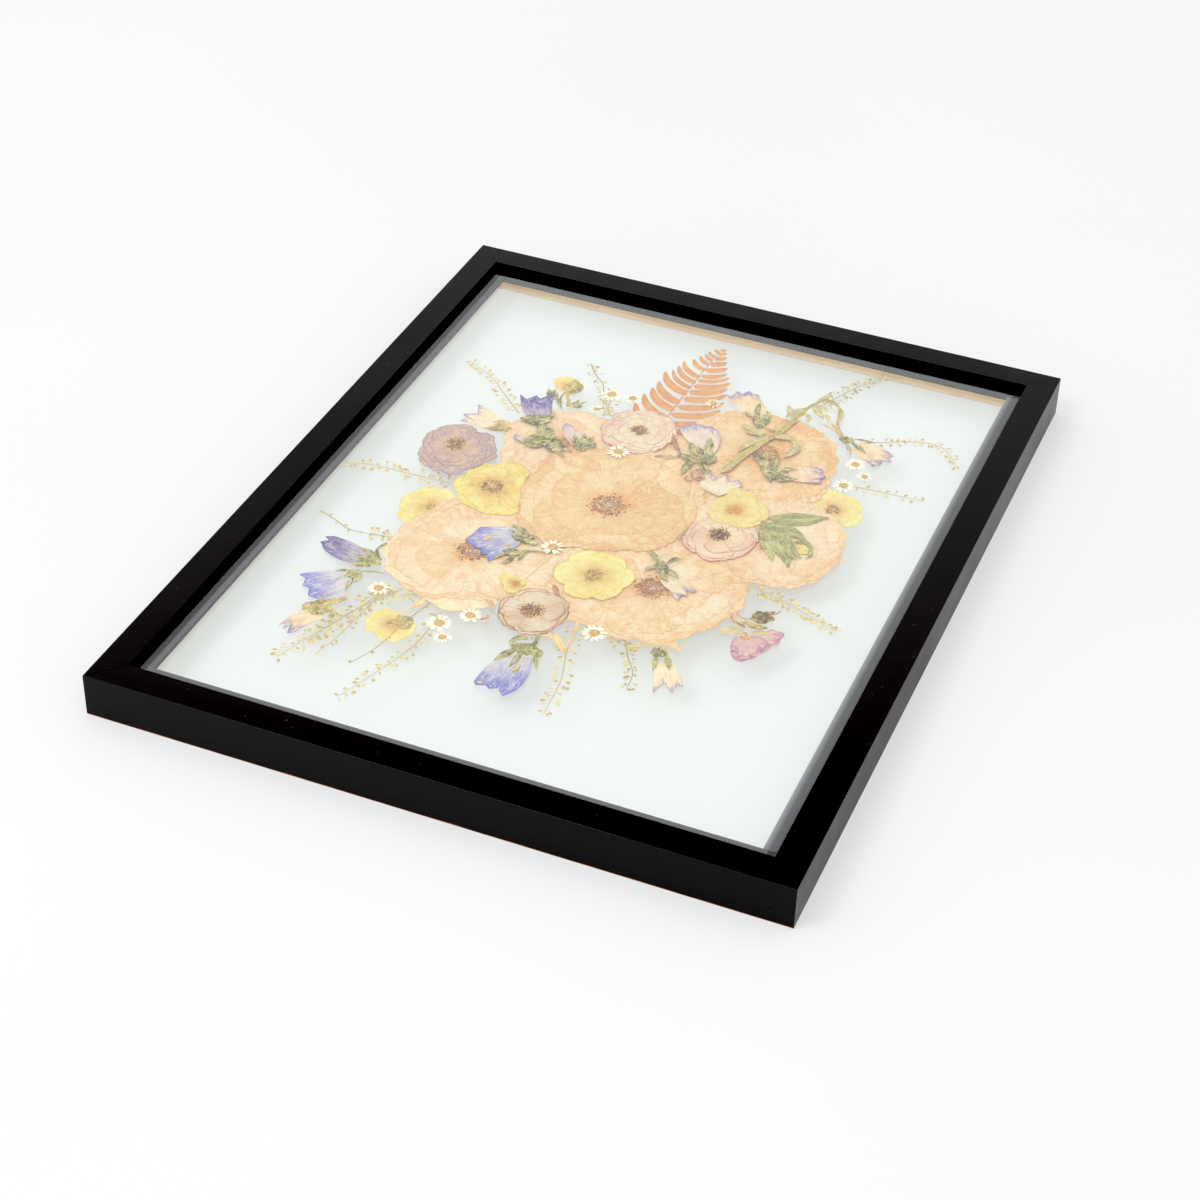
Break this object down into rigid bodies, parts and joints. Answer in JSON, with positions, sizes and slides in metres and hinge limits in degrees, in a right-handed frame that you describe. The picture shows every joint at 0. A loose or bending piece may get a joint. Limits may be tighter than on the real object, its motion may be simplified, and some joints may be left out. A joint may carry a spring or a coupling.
{
  "type": "pressed flower frame",
  "caption": "Rectangular black wood frame that holds dried blooms, bell flowers, a fern tip and seed sprays flat between clear glass panes, with an open back.",
  "frame": {"origin": "centre of the underside of the frame as it lies on its back", "axes": "+Z out of the front glass, +Y along the long side towards the fern tip, +X across the frame to the right"},
  "size_m": [0.3776, 0.4792, 0.025],
  "materials": {
    "frame_black": "satin black paint over pale wood",
    "glass": "clear float glass",
    "spacer_black": "matte black",
    "point_steel": "zinc plated sheet",
    "petal_peach": "dry translucent petal",
    "petal_blush": "dry translucent petal",
    "petal_mauve": "dry translucent petal",
    "petal_yellow": "dry translucent petal",
    "petal_violet": "dry translucent petal",
    "petal_magenta": "dry translucent petal",
    "leaf_green": "dry leaf",
    "fern_copper": "dry leaf",
    "seed_gold": "dry seeds and stems",
    "bud_brown": "dry bud",
    "daisy_cream": "dry daisy",
    "stamen_brown": "dry stamens"
  },
  "bodies": {
    "root": {"arching_stem": "leaf_green", "beige_bloom": "petal_blush", "bell_blue_bottom": "petal_violet", "bell_blue_left": "petal_violet", "bell_blue_middle": "petal_violet", "bell_closed_upper_left": "leaf_green", "bell_in_right_bloom": "petal_violet", "bell_lilac_middle": "petal_violet", "bell_pale_left": "petal_blush", "bell_peach_bottom": "petal_blush", "bell_peach_left": "petal_violet", "bell_peach_middle": "petal_blush", "bell_purple_left": "petal_violet", "bell_right": "petal_violet", "bell_small_low": "leaf_green", "bell_small_upper_left": "petal_violet", "bell_top": "petal_violet", "bell_violet_upper_left": "petal_violet", "brown_bud": "bud_brown", "cream_bloom_top": "petal_blush", "crumpled_yellow_bloom": "petal_yellow", "fern": "fern_copper", "glass_back": "glass", "glass_front": "glass", "glazing_point_1": "point_steel", "glazing_point_2": "point_steel", "glazing_point_3": "point_steel", "glazing_point_4": "point_steel", "glazing_point_5": "point_steel", "glazing_point_6": "point_steel", "glazing_point_7": "point_steel", "glazing_point_8": "point_steel", "leaf_cluster": "leaf_green", "magenta_petal": "petal_magenta", "mauve_bloom": "petal_mauve", "pale_yellow_bloom_left": "petal_yellow", "pale_yellow_bloom_right": "petal_yellow", "peach_bloom_lower_left": "petal_peach", "peach_bloom_lower_right": "petal_peach", "peach_bloom_middle": "petal_peach", "peach_bloom_right": "petal_peach", "peach_bloom_upper_left": "petal_peach", "peach_bloom_upper_right": "petal_peach", "pink_bloom_right": "petal_blush", "rail_far": "frame_black", "rail_left": "frame_black", "rail_near": "frame_black", "rail_right": "frame_black", "small_yellow_bud": "petal_yellow", "spacer_far": "spacer_black", "spacer_left": "spacer_black", "spacer_near": "spacer_black", "spacer_right": "spacer_black", "spray_bottom": "seed_gold", "spray_left": "seed_gold", "spray_upper_left": "seed_gold", "yellow_bloom_left": "petal_yellow", "yellow_bloom_low": "petal_yellow", "yellow_bloom_right": "petal_yellow", "yellow_bud_top": "petal_yellow"}
  },
  "joints": []
}
